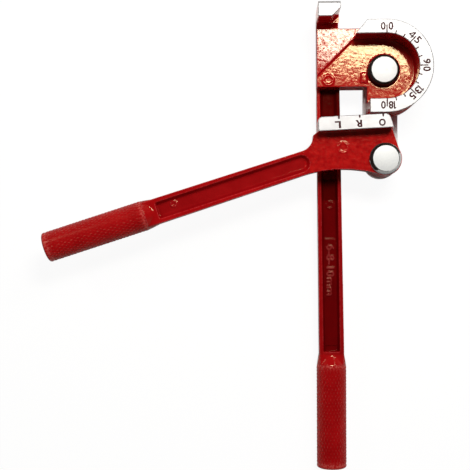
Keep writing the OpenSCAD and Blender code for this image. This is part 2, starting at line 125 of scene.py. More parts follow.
class Shader:
    """A new material, made by adding nodes and wiring them."""

    def __init__(self, name: str) -> None:
        """Starts an empty node tree.

        Args:
            name: Name of the material.
        """
        self.material = bpy.data.materials.new(name)
        self.material.use_nodes = True
        self.tree = self.material.node_tree
        self.tree.nodes.clear()

    def add(self, kind: str, options: dict | None = None, sockets: dict | None = None) -> bpy.types.Node:
        """Adds a node.

        Args:
            kind: Type name of the node.
            options: Values of the node's own settings.
            sockets: Values of its inputs by name or number; an output given as a value is wired in.

        Returns:
            The new node.
        """
        node = self.tree.nodes.new(kind)
        for option, value in (options or {}).items():
            setattr(node, option, value)
        for socket, value in (sockets or {}).items():
            if isinstance(value, Socket):
                self.tree.links.new(value, node.inputs[socket])
            else:
                node.inputs[socket].default_value = value
        return node

    def place(self, centre: Point = (0, 0, 0)) -> Socket:
        """Reads the piece's own coordinates.

        Args:
            centre: Point that becomes the pattern's origin.

        Returns:
            The coordinates as a vector output.
        """
        coords = self.add("ShaderNodeTexCoord").outputs["Object"]
        sockets = {"Vector": coords, "Location": centre}
        return self.add("ShaderNodeMapping", {"vector_type": "TEXTURE"}, sockets).outputs["Vector"]

    def noise(self, place: Socket, grain: float, detail: float, stretch: Point = (1, 1, 1)) -> Socket:
        """Adds soft noise.

        Args:
            place: Coordinates that the noise is read at.
            grain: Size of its patches.
            detail: Number of finer layers.
            stretch: Factor on the patches' size along X, Y and Z.

        Returns:
            The noise from 0 to 1.
        """
        scale = {"Vector": place, "Scale": tuple(1 / factor for factor in stretch)}
        spread = self.add("ShaderNodeMapping", {"vector_type": "POINT"}, scale).outputs["Vector"]
        sockets = {"Vector": spread, "Scale": 1 / grain, "Detail": detail}
        return self.add("ShaderNodeTexNoise", None, sockets).outputs["Fac"]

    def ramp(self, level: Socket, stops: Sequence[tuple[float, Colour]]) -> Socket:
        """Turns a level into colours.

        Args:
            level: Level from 0 to 1.
            stops: The two places along the level where a colour is full, each with its colour.

        Returns:
            The colour output.
        """
        node = self.add("ShaderNodeValToRGB", None, {"Fac": level})
        for stop, (place, colour) in zip(node.color_ramp.elements, stops):
            stop.position = place
            stop.color = (*colour, 1)
        return node.outputs["Color"]

    def edged(self, flat: Socket, edge: Socket, pointiness: Span) -> Socket:
        """Gives convex edges a lighter colour of their own: partly thin paint on the edges, partly painted
        highlights.

        Args:
            flat: Colour of flat and hollow places.
            edge: Colour of the edges.
            pointiness: Where the edge colour starts to come in, and where it covers.

        Returns:
            The colour output.
        """
        point = self.add("ShaderNodeNewGeometry").outputs["Pointiness"]
        sockets = {"Value": point, "From Min": pointiness[0], "From Max": pointiness[1]}
        share = self.add("ShaderNodeMapRange", None, sockets).outputs["Result"]
        colours = {MIX_SHARE: share, MIX_FLAT: flat, MIX_EDGE: edge}
        return self.add("ShaderNodeMix", {"data_type": "RGBA"}, colours).outputs[MIX_COLOUR]

    def span(self, level: Socket, low: float, high: float) -> Socket:
        """Spreads a noise between two values.

        Args:
            level: The noise.
            low: Value at a low level.
            high: Value at a high level.

        Returns:
            The value output.
        """
        sockets = {"Value": level, "From Min": NOISE_LOW, "From Max": NOISE_HIGH,
                   "To Min": low, "To Max": high}
        return self.add("ShaderNodeMapRange", None, sockets).outputs["Result"]

    def bump(self, height: Socket, rise: float, below: Socket | None = None) -> Socket:
        """Adds relief.

        Args:
            height: Level from 0 to 1.
            rise: Real height of the relief.
            below: Relief that this one lies on.

        Returns:
            The normal output.
        """
        sockets = {"Height": height, "Distance": rise}
        if below is not None:
            sockets["Normal"] = below
        return self.add("ShaderNodeBump", None, sockets).outputs["Normal"]

    def surface(self, sockets: dict) -> Material:
        """Closes the material with a principled surface.

        Args:
            sockets: Values of the surface's inputs by name.

        Returns:
            The finished material.
        """
        shade = self.add("ShaderNodeBsdfPrincipled", None, sockets).outputs["BSDF"]
        self.add("ShaderNodeOutputMaterial", None, {"Surface": shade})
        return self.material


class Finish:
    """A surface finish, whose material is made on its first use."""

    name: str
    light: Colour
    dark: Colour
    tone_span: Span = (0.35, 0.65)

    def mix(self) -> Material:
        """Makes the finish's material."""
        raise NotImplementedError

    def material(self) -> Material:
        """Returns the finish's material."""
        return bpy.data.materials.get(self.name) or self.mix()

    def tones(self, shader: Shader, level: Socket) -> Socket:
        """Spreads the dark and the light tone over a level."""
        return shader.ramp(level, tuple(zip(self.tone_span, (self.dark, self.light))))


@dataclass(frozen=True)
class CastPaint(Finish):
    """Glossy red paint over a casting with a fine grain and a soft swell."""

    name: str = "cast_paint"
    light: Colour = (0.46, 0.004, 0.006)
    dark: Colour = (0.38, 0.002, 0.004)
    # lighter colour of convex edges: partly thin paint there, partly a painted highlight
    edge: Colour = (0.62, 0.06, 0.07)
    tone_size: float = 14 * MM
    grain_size: float = 1.4 * MM
    grain_rise: float = 0.015 * MM
    swell_size: float = 5.0 * MM
    swell_rise: float = 0.06 * MM
    smooth: float = 0.08
    rough: float = 0.15
    glare: Colour = (1.0, 0.82, 0.52)
    shine: float = 0.35
    fleck: float = 0.0  # share of the shine that varies with the grain
    edge_span: Span = (0.35, 0.60)
    edge_pointiness: Span = (0.512, 0.55)

    def mix(self) -> Material:
        """Makes the paint's material.

        Returns:
            The material.
        """
        shader = Shader(self.name)
        place = shader.place()
        tone = shader.noise(place, self.tone_size, detail=4)
        grain = shader.noise(place, self.grain_size, detail=2)
        swell = shader.noise(place, self.swell_size, detail=1)
        edge = shader.ramp(grain, tuple(zip(self.edge_span, (self.light, self.edge))))
        dull, bright = self.shine * (1 - self.fleck), self.shine * (1 + self.fleck)
        return shader.surface({
            "Base Color": shader.edged(self.tones(shader, tone), edge, self.edge_pointiness),
            "Roughness": shader.span(grain, self.smooth, self.rough),
            "Specular IOR Level": shader.span(grain, dull, bright) if self.fleck else self.shine,
            "Specular Tint": (*self.glare, 1),
            "Normal": shader.bump(grain, self.grain_rise, shader.bump(swell, self.swell_rise)),
        })


@dataclass(frozen=True)
class MilledFace(Finish):
    """Bare light metal with the fine lines that a milling cutter leaves."""

    name: str = "milled_face"
    light: Colour = (0.66, 0.66, 0.67)
    dark: Colour = (0.60, 0.60, 0.61)
    tone_span: Span = (0.3, 0.6)
    metal: float = 1.0
    line_w: float = 0.22 * MM
    line_stretch: float = 60.0
    line_rise: float = 0.002 * MM
    cloud_size: float = 8.8 * MM
    smooth: float = 0.55
    rough: float = 0.66

    def mix(self) -> Material:
        """Makes the metal's material.

        Returns:
            The material.
        """
        shader = Shader(self.name)
        place = shader.place()
        lines = shader.noise(place, self.line_w, detail=2, stretch=(self.line_stretch, 1, 1))
        cloud = shader.noise(place, self.cloud_size, detail=3)
        return shader.surface({
            "Base Color": self.tones(shader, cloud),
            "Metallic": self.metal,
            "Roughness": shader.span(lines, self.smooth, self.rough),
            "Normal": shader.bump(lines, self.line_rise),
        })


@dataclass(frozen=True)
class TurnedSteel(Finish):
    """Bright steel with the fine rings of a lathe tool round an axis."""

    name: str
    axis: Point
    light: Colour = (0.75, 0.77, 0.77)
    dark: Colour = (0.67, 0.69, 0.70)
    tone_span: Span = (0.3, 0.6)
    metal: float = 0.6
    ring_pitch: float = 0.3 * MM
    ring_rise: float = 0.0015 * MM
    ring_waver: float = 1.5
    cloud_size: float = 2.7 * MM
    smooth: float = 0.55
    rough: float = 0.65

    def mix(self) -> Material:
        """Makes the steel's material.

        Returns:
            The material.
        """
        shader = Shader(self.name)
        place = shader.place(self.axis)
        options = {"wave_type": "RINGS", "rings_direction": "Z"}
        scale = math.tau / (WAVE_RATE * self.ring_pitch)
        sockets = {"Vector": place, "Scale": scale, "Distortion": self.ring_waver}
        rings = shader.add("ShaderNodeTexWave", options, sockets).outputs["Fac"]
        cloud = shader.noise(place, self.cloud_size, detail=4)
        return shader.surface({
            "Base Color": self.tones(shader, cloud),
            "Metallic": self.metal,
            "Roughness": shader.span(cloud, self.smooth, self.rough),
            "Normal": shader.bump(rings, self.ring_rise),
        })


@dataclass(frozen=True)
class PlatedSteel(Finish):
    """Plated flat steel with long faint scratches."""

    name: str = "plated_steel"
    light: Colour = (0.96, 0.97, 0.97)
    dark: Colour = (0.86, 0.87, 0.88)
    tone_span: Span = (0.3, 0.65)
    # Nearly white and hardly metallic: the plating's own light colour, with a painted reflection of bright
    # surroundings.
    metal: float = 0.1
    scratch_w: float = 0.12 * MM
    scratch_stretch: float = 90.0
    scratch_rise: float = 0.002 * MM
    cloud_size: float = 7.2 * MM
    smooth: float = 0.45
    rough: float = 0.60

    def mix(self) -> Material:
        """Makes the plating's material.

        Returns:
            The material.
        """
        shader = Shader(self.name)
        place = shader.place()
        scratch = shader.noise(place, self.scratch_w, detail=2, stretch=(1, self.scratch_stretch, 1))
        cloud = shader.noise(place, self.cloud_size, detail=4)
        return shader.surface({
            "Base Color": self.tones(shader, cloud),
            "Metallic": self.metal,
            "Roughness": shader.span(cloud, self.smooth, self.rough),
            "Normal": shader.bump(scratch, self.scratch_rise),
        })


@dataclass(frozen=True)
class OilySteel(Finish):
    """Near-black steel: painted shade on the sides of the lever pin and its washer that face away from the
    light, and the dark ring round the wheel pin's head.
    """

    name: str = "near_black_steel"
    light: Colour = (0.024, 0.020, 0.018)
    dark: Colour = (0.008, 0.007, 0.006)
    metal: float = 0.2
    shine: float = 0.2
    patch: float = 1.6 * MM
    patch_rise: float = 0.01 * MM
    smooth: float = 0.30
    rough: float = 0.55

    def mix(self) -> Material:
        """Makes the oily steel's material.

        Returns:
            The material.
        """
        shader = Shader(self.name)
        patches = shader.noise(shader.place(), self.patch, detail=4)
        return shader.surface({
            "Base Color": self.tones(shader, patches),
            "Metallic": self.metal,
            "Specular IOR Level": self.shine,
            "Roughness": shader.span(patches, self.smooth, self.rough),
            "Normal": shader.bump(patches, self.patch_rise),
        })


@dataclass(frozen=True)
class OiledBronze(Finish):
    """Sintered bronze, dark with oil in its pores."""

    name: str = "oiled_bronze"
    light: Colour = (0.62, 0.42, 0.19)
    dark: Colour = (0.28, 0.17, 0.07)
    tone_span: Span = (0.35, 0.55)
    metal: float = 1.0
    pore: float = 0.35 * MM
    pore_rise: float = 0.01 * MM
    smooth: float = 0.25
    rough: float = 0.45

    def mix(self) -> Material:
        """Makes the bronze's material.

        Returns:
            The material.
        """
        shader = Shader(self.name)
        pores = shader.noise(shader.place(), self.pore, detail=3)
        return shader.surface({
            "Base Color": self.tones(shader, pores),
            "Metallic": self.metal,
            "Roughness": shader.span(pores, self.smooth, self.rough),
            "Normal": shader.bump(pores, self.pore_rise),
        })


@dataclass(frozen=True)
class MarkPaint(Finish):
    """Dark red paint rubbed into the stamped marks."""

    name: str = "mark_paint"
    light: Colour = (0.075, 0.005, 0.010)
    dark: Colour = (0.030, 0.002, 0.004)
    shine: float = 0.15
    patch: float = 0.5 * MM
    smooth: float = 0.40
    rough: float = 0.60

    def mix(self) -> Material:
        """Makes the mark's material.

        Returns:
            The material.
        """
        shader = Shader(self.name)
        patches = shader.noise(shader.place(), self.patch, detail=3)
        return shader.surface({
            "Base Color": self.tones(shader, patches),
            "Roughness": shader.span(patches, self.smooth, self.rough),
            "Specular IOR Level": self.shine,
        })


def alone(piece: Piece) -> None:
    """Selects one piece and nothing else, and makes it active.

    Args:
        piece: The piece to select.
    """
    bpy.ops.object.select_all(action="DESELECT")
    piece.select_set(True)
    bpy.context.view_layer.objects.active = piece


@contextmanager
def editing(piece: Piece, pick: Pick = Pick.FACE) -> Iterator[None]:
    """Opens one piece in edit mode with nothing selected.

    Args:
        piece: The piece to edit.
        pick: What is selected.

    Yields:
        Nothing, while the piece is open.
    """
    alone(piece)
    bpy.ops.object.mode_set(mode="EDIT")
    bpy.ops.mesh.select_mode(type=pick.value)
    bpy.ops.mesh.select_all(action="DESELECT")
    yield
    bpy.ops.object.mode_set(mode="OBJECT")


def pick_faces(piece: Piece, test: FaceTest) -> None:
    """Selects faces of a piece that is in edit mode.

    Args:
        piece: The piece being edited.
        test: Says whether a face is selected.
    """
    mesh = bmesh.from_edit_mesh(piece.data)
    for face in mesh.faces:
        face.select_set(test(face))
    mesh.select_flush_mode()
    bmesh.update_edit_mesh(piece.data)


def pick_edges(piece: Piece, test: EdgeTest) -> None:
    """Selects edges of a piece that is in edit mode.

    Args:
        piece: The piece being edited.
        test: Says whether an edge is selected.
    """
    mesh = bmesh.from_edit_mesh(piece.data)
    for edge in mesh.edges:
        edge.select_set(test(edge))
    bmesh.update_edit_mesh(piece.data)


def modify(piece: Piece, kind: str, **settings: object) -> None:
    """Adds a modifier and applies it.

    Args:
        piece: The piece to modify.
        kind: Type of the modifier.
        **settings: Its settings.
    """
    alone(piece)
    modifier = piece.modifiers.new(kind.lower(), kind)
    for setting, value in settings.items():
        setattr(modifier, setting, value)
    bpy.ops.object.modifier_apply(modifier=modifier.name)


def settle(piece: Piece, place: Matrix | None = None) -> None:
    """Moves a piece to its place and puts the place in its mesh.

    Args:
        piece: The piece to move.
        place: Matrix of its place, if it is still at the origin.
    """
    if place is not None:
        piece.matrix_world = place
    alone(piece)
    bpy.ops.object.transform_apply(location=True, rotation=True, scale=True)


def node_copy(node: str, name: str) -> Piece:
    """Copies a solid's mesh as a new piece with its triangles joined up.

    Args:
        node: Name of the solid's node.
        name: Name of the piece.

    Returns:
        The new piece.
    """
    piece = bpy.data.objects.new(name, frame["nodes"][node].data.copy())
    bpy.context.scene.collection.objects.link(piece)
    with editing(piece):
        bpy.ops.mesh.select_all(action="SELECT")
        bpy.ops.mesh.remove_doubles(threshold=WELD)
        bpy.ops.mesh.normals_make_consistent(inside=False)
    return piece


def join(pieces: Sequence[Piece], name: str) -> Piece:
    """Joins pieces into the first of them.

    Args:
        pieces: The pieces to join.
        name: Name of the joined piece.

    Returns:
        The joined piece.
    """
    alone(pieces[0])
    for piece in pieces:
        piece.select_set(True)
    bpy.ops.object.join()
    pieces[0].name = name
    return pieces[0]


def coat(piece: Piece, crease: float, finishes: Sequence[Finish]) -> None:
    """Shades a piece smooth up to its creases and gives it its finishes.

    Args:
        piece: The piece to coat.
        crease: Angle from which an edge stays sharp, in degrees.
        finishes: The finishes, in the order of the faces' indices.
    """
    alone(piece)
    bpy.ops.object.shade_smooth_by_angle(angle=math.radians(crease))
    piece.data.materials.clear()
    for finish in finishes:
        piece.data.materials.append(finish.material())


def seat(piece: Piece, body: Body, nodes: Sequence[str] = ()) -> Piece:
    """Hands a finished piece to the frame and reports it.

    Args:
        piece: The finished piece.
        body: Body that it moves with.
        nodes: Solids that it stands for.

    Returns:
        The same piece.
    """
    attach(piece, body.value)
    if nodes:
        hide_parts(*nodes)
    LOG.info("%s: %d faces on %s", piece.name, len(piece.data.polygons), body.value)
    return piece


MOUNTS = {entry["name"]: entry for entry in frame["record"]["mounts"]}
JOINTS = {entry["name"]: entry for entry in frame["record"]["behaviour"]["joints"]}
WHEEL_AXIS = Vector(JOINTS["link_swing"]["pos_m"])
LEVER_AXIS = Vector(JOINTS["lever_swing"]["pos_m"])
# The wheel's rim is the casting's furthest place to the right, and the dial face its highest.
WHEEL_R, _, FACE_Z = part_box("mandrel_casting")[1]
# The lever rests this far open, which is as far as it can close.
LEVER_OPEN = -math.radians(JOINTS["lever_swing"]["range_deg"][0])
# Where a piece's bound_box holds its two far corners.
LOW_CORNER, HIGH_CORNER = 0, 6
# Thickness, curve steps and weld of the font's figures, which are about 0.7 high.
FONT_DEPTH, FONT_STEPS, FONT_WELD = 0.1, 6, 0.0005


def glyphs(words: str, width: float, height: float, depth: float, bold: float = 0.028) -> Piece:
    """Models plain raised figures, centred on the origin and lying in XY.

    Args:
        words: The figures.
        width: Their width as a whole.
        height: Their height, from foot to top.
        depth: Their thickness.
        bold: How far the strokes grow on each side, in the font's own units.

    Returns:
        The figures as one closed mesh.
    """
    bpy.ops.object.text_add()
    piece = bpy.context.object
    piece.data.body = words
    piece.data.extrude = FONT_DEPTH
    piece.data.offset = bold
    piece.data.resolution_u = FONT_STEPS
    bpy.ops.object.convert(target="MESH")
    piece = bpy.context.object
    with editing(piece):
        bpy.ops.mesh.select_all(action="SELECT")
        bpy.ops.mesh.remove_doubles(threshold=FONT_WELD)
        bpy.ops.mesh.normals_make_consistent(inside=False)
    low, high = Vector(piece.bound_box[LOW_CORNER]), Vector(piece.bound_box[HIGH_CORNER])
    size = high - low
    fit = Matrix.Diagonal((width / size.x, height / size.y, depth / size.z, 1))
    settle(piece, fit @ Matrix.Translation(-(low + high) / 2))
    return piece


@dataclass(frozen=True)
class EjectorMark:
    """Ring that an ejector pin of the mould leaves on a cast face."""

    x: float
    y: float
    z: float
    radius: float
    rim: float = 1.0 * MM
    slope: float = 0.25 * MM
    rise: float = 0.55 * MM
    root: float = 1.5 * MM
    sink: float = 1.0 * MM
    corners: int = 40

    def build(self) -> Piece:
        """Models the ring as a short plug with a dished top.

        Returns:
            The plug, standing in the cast face.
        """
        middle = (self.x, self.y, self.z + (self.rise - self.root) / 2)
        bpy.ops.mesh.primitive_cylinder_add(
            vertices=self.corners, radius=self.radius, depth=self.root + self.rise, location=middle)
        piece = bpy.context.object
        with editing(piece):
            pick_faces(piece, lambda face: face.normal.z > FLAT_TOP)
            bpy.ops.mesh.inset(thickness=self.rim)
            bpy.ops.mesh.inset(thickness=self.slope, depth=-self.sink)
        settle(piece)
        return piece


@dataclass(frozen=True)
class RaisedPanel:
    """Blank raised panel on a cast face."""

    low: Span
    high: Span
    z: float
    rise: float = 0.5 * MM
    root: float = 1.0 * MM

    def build(self) -> Piece:
        """Models the panel as a block.

        Returns:
            The panel, standing in the cast face.
        """
        (left, foot), (right, top) = self.low, self.high
        middle = ((left + right) / 2, (foot + top) / 2, self.z + (self.rise - self.root) / 2)
        size = (right - left, top - foot, self.root + self.rise)
        bpy.ops.mesh.primitive_cube_add(size=1, location=middle, scale=size)
        piece = bpy.context.object
        settle(piece)
        return piece


@dataclass(frozen=True)
class RaisedFigures:
    """Plain size figures, raised on a cast face and read down the handle."""

    words: str
    middle: Point
    width: float
    height: float
    rise: float = 0.6 * MM
    root: float = 1.0 * MM
    bold: float = 0.010

    def build(self) -> Piece:
        """Models the figures.

        Returns:
            The figures, standing in the cast face.
        """
        piece = glyphs(self.words, self.width, self.height, self.root + self.rise, self.bold)
        middle = Vector(self.middle) + Vector((0, 0, (self.rise - self.root) / 2))
        settle(piece, Matrix.Translation(middle) @ Matrix.Rotation(-math.pi / 2, 4, "Z"))
        return piece


@dataclass(frozen=True)
class Patch:
    """Box in which a casting's upward faces have a finish of their own."""

    finish: Finish
    low: Point
    high: Point
    least_up: float = 0.3

    def holds(self, face: bpy.types.MeshPolygon) -> bool:
        """Says whether a face lies in the box and looks up."""
        inside = all(low < at < high for low, at, high in zip(self.low, face.center, self.high))
        return inside and face.normal.z > self.least_up


@dataclass
class Casting:
    """A painted casting with soft edges and milled front faces."""

    nodes: tuple[str, ...]
    body: Body
    details: Sequence[EjectorMark | RaisedPanel | RaisedFigures]
    patches: Sequence[Patch] = ()
    paint: CastPaint = field(default_factory=CastPaint)
    milled: MilledFace = field(default_factory=MilledFace)
    voxel: float = 0.5 * MM
    cut_weld: float = 1 / 3  # share of a voxel within which points of a cut are one
    soften: int = 3
    softness: float = 0.5
    triangles: int = 180_000
    stock: float = 3 * MM
    broken_edge: float = 0.45 * MM
    bare_depth: float = 2.1 * MM
    bare_up: float = 0.35
    crease: float = 35

    def build(self) -> Piece:
        """Makes the casting: cast, milled and painted.

        Returns:
            The finished piece.
        """
        name = f"{self.nodes[0]}_skin"
        solids = [node_copy(node, node) for node in self.nodes]
        self.add_stock(solids[0])
        piece = join([*solids, *(detail.build() for detail in self.details)], name)
        self.cast(piece)
        self.mill(piece)
        self.dress(piece)
        return seat(piece, self.body, self.nodes)

    def add_stock(self, piece: Piece) -> None:
        """Adds the metal on the front faces that the mill takes off again.

        Args:
            piece: The casting.
        """
        def is_front(face: bmesh.types.BMFace) -> bool:
            """Says whether a face is flat and as high as the dial face."""
            return face.normal.z > FLAT_TOP and face.calc_center_median().z > FACE_Z - WELD

        with editing(piece):
            pick_faces(piece, is_front)
            bpy.ops.mesh.extrude_region_move(TRANSFORM_OT_translate={"value": (0, 0, self.stock)})

    def cast(self, piece: Piece) -> None:
        """Rounds all edges and corners as a mould does.

        Args:
            piece: The casting.
        """
        modify(piece, "REMESH", mode="VOXEL", voxel_size=self.voxel)
        modify(piece, "SMOOTH", factor=self.softness, iterations=self.soften)
        count = sum(len(face.vertices) - 2 for face in piece.data.polygons)
        modify(piece, "DECIMATE", ratio=min(1.0, self.triangles / count))

    def mill(self, piece: Piece) -> None:
        """Cuts the front flat at the height of the dial and breaks its edges.

        Args:
            piece: The casting.
        """
        cut = FACE_Z - self.broken_edge
        with editing(piece):
            bpy.ops.mesh.select_all(action="SELECT")
            bpy.ops.mesh.bisect(plane_co=(0, 0, cut), plane_no=(0, 0, 1), use_fill=True, clear_outer=True,
                                threshold=FINE_WELD)
            bpy.ops.mesh.select_all(action="SELECT")
            bpy.ops.mesh.normals_make_consistent(inside=False)
            pick_faces(piece, lambda face: all(vert.co.z > cut - ON_PLANE for vert in face.verts))
            bpy.ops.mesh.remove_doubles(threshold=self.cut_weld * self.voxel)
            bpy.ops.mesh.inset(thickness=self.broken_edge, depth=self.broken_edge, use_even_offset=False)

    def dress(self, piece: Piece) -> None:
        """Paints the casting and leaves its milled faces bare.

        Args:
            piece: The casting.
        """
        finishes = [self.paint, self.milled]
        coat(piece, self.crease, [*finishes, *(patch.finish for patch in self.patches)])
        patches = list(enumerate(self.patches, len(finishes)))
        for face in piece.data.polygons:
            is_bare = face.center.z > FACE_Z - self.bare_depth and face.normal.z > self.bare_up
            held = (index for index, patch in patches if patch.holds(face))
            face.material_index = next(held, int(is_bare))


# Sides of a diamond, and edges that end at each point that the poke adds.
DIAMOND = 4


@dataclass
class KnurledGrip:
    """A grip sleeve with a raised diamond knurl."""

    node: str
    body: Body
    finish: CastPaint
    columns: int = 28
    rows: int = 15
    tooth: float = 0.22 * MM
    land: float = 0.50 * MM
    slope: float = 0.45 * MM
    bore_r: float = 8.02 * MM
    crease: float = 25

    def build(self) -> Piece:
        """Models the sleeve in its place on the handle.

        Returns:
            The finished piece.
        """
        grip = MOUNTS[self.node]
        radius = grip["dims"]["r_mm"] * MM - self.tooth
        length = grip["dims"]["length_mm"] * MM
        piece = self.lattice(radius, length)
        self.raise_teeth(piece)
        self.close_ends(piece, radius)
        along = Vector(grip["axis"]).to_track_quat("Z", "Y").to_matrix().to_4x4()
        settle(piece, Matrix.Translation(grip["pos_m"]) @ along)
        coat(piece, self.crease, [self.finish])
        return seat(piece, self.body, [self.node])

    def lattice(self, radius: float, length: float) -> Piece:
        """Models an open tube whose faces are diamonds.

        Args:
            radius: Radius at the foot of the teeth.
            length: Length of the sleeve.

        Returns:
            The tube, along Z and centred on the origin.
        """
        bpy.ops.mesh.primitive_cylinder_add(
            vertices=self.columns, radius=radius, depth=length, end_fill_type="NOTHING")
        piece = bpy.context.object
        piece.name = f"{self.node}_knurl"
        sag = radius * (1 - math.cos(math.pi / self.columns))
        with editing(piece, Pick.EDGE):
            pick_edges(piece, lambda edge: abs(edge.verts[0].co.z - edge.verts[1].co.z) > length / 2)
            bpy.ops.mesh.subdivide(number_cuts=self.rows - 1)
            bpy.ops.mesh.select_all(action="SELECT")
            bpy.ops.mesh.poke(offset=sag)
            pick_edges(piece, lambda edge: not edge.is_boundary
                       and all(len(vert.link_edges) > DIAMOND for vert in edge.verts))
            bpy.ops.mesh.dissolve_edges(use_verts=False)
        return piece

    def raise_teeth(self, piece: Piece) -> None:
        """Raises a blunt point from each diamond.

        Args:
            piece: The tube.
        """
        with editing(piece):
            pick_faces(piece, lambda face: len(face.verts) == DIAMOND)
            bpy.ops.mesh.inset(thickness=self.land, use_individual=True)
            bpy.ops.mesh.inset(thickness=self.slope, depth=self.tooth, use_individual=True)

    def close_ends(self, piece: Piece, radius: float) -> None:
        """Closes the sleeve's ends down to its bore, and joins them by the bore's wall.

        Args:
            piece: The tube.
            radius: Radius at the foot of the teeth.
        """
        inward = self.bore_r / radius
        with editing(piece, Pick.EDGE):
            pick_edges(piece, lambda edge: edge.is_boundary)
            bpy.ops.mesh.extrude_edges_move()
            bpy.ops.transform.resize(value=(inward, inward, 1), center_override=(0, 0, 0))
            bpy.ops.mesh.bridge_edge_loops()
            bpy.ops.mesh.select_all(action="SELECT")
            bpy.ops.mesh.normals_make_consistent(inside=False)


@dataclass
class BrokenEdgePart:
    """A steel part whose sharp edges are broken.

    Its sides may have a finish of their own: all of them, or those that face one way.
    """

    node: str
    finish: Finish
    edge: float = 0.2 * MM
    side: Finish | None = None
    side_way: Point = (0, 0, 0)
    side_up: float = 0.98  # greatest normal.z of a side
    side_least: float = -0.2  # least share of a side's normal that faces side_way
    flat: float = 0.5  # degrees between faces that are one
    sharp: float = 32  # degrees from which an edge is broken
    crease: float = 30
    edge_steps: int = 2

    def build(self) -> Piece:
        """Models the part from its solid.

        Returns:
            The finished piece.
        """
        piece = node_copy(self.node, f"{self.node}_body")
        with editing(piece, Pick.EDGE):
            bpy.ops.mesh.select_all(action="SELECT")
            bpy.ops.mesh.dissolve_limited(angle_limit=math.radians(self.flat))
            bpy.ops.mesh.select_all(action="DESELECT")
            bpy.ops.mesh.edges_select_sharp(sharpness=math.radians(self.sharp))
            bpy.ops.mesh.bevel(offset=self.edge, segments=self.edge_steps, clamp_overlap=True)
        self.dress(piece)
        return seat(piece, Body.LINK, [self.node])

    def dress(self, piece: Piece) -> None:
        """Coats the part and its sides.

        Args:
            piece: The part.
        """
        if not self.side:
            coat(piece, self.crease, [self.finish])
            return
        coat(piece, self.crease, [self.finish, self.side])
        for face in piece.data.polygons:
            faces_way = face.normal.dot(self.side_way) > self.side_least
            face.material_index = int(abs(face.normal.z) < self.side_up and faces_way)


@dataclass
class Pivots:
    """The link, its two pins and their washers, clips and bushes."""

    link_edge: float = 0.5 * MM
    wheel_pin_edge: float = 0.6 * MM
    lever_pin_edge: float = 0.45 * MM
    clip_edge: float = 0.12 * MM
    # Ways that the shaded and the lit sides of the lever pin and its washer face.
    oily_way: Point = (-0.6, 0.8, 0)
    clean_way: Point = (0.6, -0.8, 0)

    def build(self) -> None:
        """Models the steel parts and dresses the bronze ones."""
        plated, near_black, bronze = PlatedSteel(), OilySteel(), OiledBronze()
        wheel = TurnedSteel("turned_wheel_pin", tuple(WHEEL_AXIS))
        lever = TurnedSteel("turned_lever_pin", tuple(LEVER_AXIS))
        BrokenEdgePart("link_plate", plated, self.link_edge).build()
        BrokenEdgePart("wheel_pin", wheel, self.wheel_pin_edge, near_black).build()
        # On the lever pin and its washer the upper-left sides are near-black as painted shade, and the
        # washer's lower-right sides are plated as lit.
        BrokenEdgePart("lever_pin", lever, self.lever_pin_edge, near_black, self.oily_way).build()
        BrokenEdgePart("wheel_head_washer", near_black).build()
        BrokenEdgePart("lever_head_washer", near_black, side=plated, side_way=self.clean_way).build()
        for end in ("wheel", "lever"):
            BrokenEdgePart(f"{end}_rear_washer", plated).build()
            BrokenEdgePart(f"{end}_circlip", plated, self.clip_edge).build()
        for node in ("wheel_bush", "lever_bush", "wheel_thrust_washer", "lever_thrust_washer"):
            dress_node(node, bronze)


def dress_node(node: str, finish: Finish) -> None:
    """Gives a solid that stays as it is its finish.

    Args:
        node: Name of the solid's node.
        finish: The finish.
    """
    for slot in frame["nodes"][node].material_slots:
        slot.material = finish.material()
    LOG.info("%s: solid kept, in %s", node, finish.name)


# Ends of the strokes of the figures that the font draws otherwise than the stamps do.
STROKES = {
    "1": ((mm(0.3, -2.8), mm(0.3, 2.8)), (mm(0.5, 2.7), mm(-1.0, 1.7))),
    "4": ((mm(0.8, -2.8), mm(0.8, 2.8)), (mm(0.9, 2.8), mm(-2.1, -1.1)), (mm(-2.2, -1.0), mm(2.0, -1.0))),
}


@dataclass
class Marks:
    """Stamped lines and figures, filled with paint, on a milled face."""

    depth: float = 0.3 * MM
    proud: float = 0.03 * MM
    stroke: float = 0.9 * MM
    end_round: float = 0.45  # share of a line's width
    end_steps: int = 4
    crease: float = 30
    finish: MarkPaint = field(default_factory=MarkPaint)

    @property
    def middle_z(self) -> float:
        """Height of the marks' middle."""
        return FACE_Z + self.proud - self.depth / 2

    def line(self, length: float, width: float) -> Piece:
        """Models a line with round ends, along Y and starting at the origin.

        Args:
            length: Length of the line.
            width: Width of the line.

        Returns:
            The line.
        """
        size = (width, length, self.depth)
        bpy.ops.mesh.primitive_cube_add(size=1, location=(0, length / 2, 0), scale=size)
        piece = bpy.context.object
        settle(piece)
        with editing(piece, Pick.EDGE):
            pick_edges(piece, lambda edge: abs(edge.verts[0].co.z - edge.verts[1].co.z) > self.depth / 2)
            bpy.ops.mesh.bevel(offset=self.end_round * width, segments=self.end_steps)
        return piece

    def finish_marks(self, pieces: Sequence[Piece], name: str, body: Body) -> Piece:
        """Joins the marks of one face into a piece.

        Args:
            pieces: The lines and figures.
            name: Name of the piece.
            body: Body that the face belongs to.

        Returns:
            The finished piece.
        """
        piece = join(pieces, name)
        coat(piece, self.crease, [self.finish])
        return seat(piece, body)


